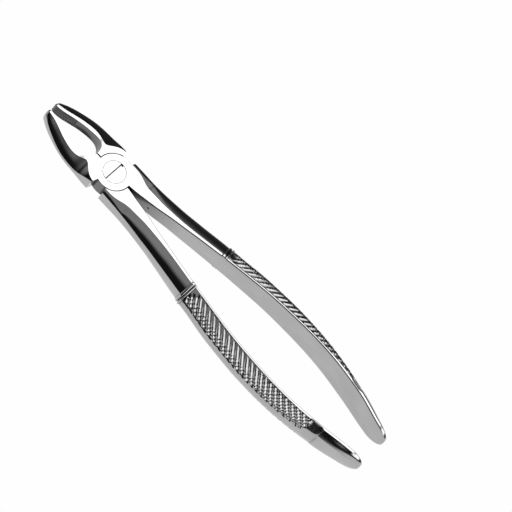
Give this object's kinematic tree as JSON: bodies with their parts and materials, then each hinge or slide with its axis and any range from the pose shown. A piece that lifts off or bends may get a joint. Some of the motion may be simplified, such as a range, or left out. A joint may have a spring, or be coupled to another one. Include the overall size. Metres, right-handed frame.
{
  "type": "extraction forceps",
  "caption": "Dental extraction forceps for upper front teeth: crossed halves on a slotted pivot screw, hollowed serrated beaks and long bowed handles with a cut diamond grip.",
  "frame": {"origin": "on the pivot axis, at the flat underside of the joint", "axes": "+X towards the beak tips, along the instrument; +Z along the pivot screw towards its head; +Y to the side of the upper half's beak"},
  "size_m": [0.178, 0.0384, 0.0154],
  "materials": {
    "forged_steel": "bright polished stainless steel with fine satin inner faces",
    "screw_steel": "bright turned stainless steel"
  },
  "bodies": {
    "lower": {"lower_half": "forged_steel", "pivot_screw": "screw_steel"},
    "upper": {"upper_half": "forged_steel"}
  },
  "joints": [
    {"name": "pivot", "type": "hinge", "parent": "lower", "child": "upper", "pos_m": [0, 0, 0.0038], "axis": [0, 0, 1], "range_deg": [-3, 32]}
  ]
}
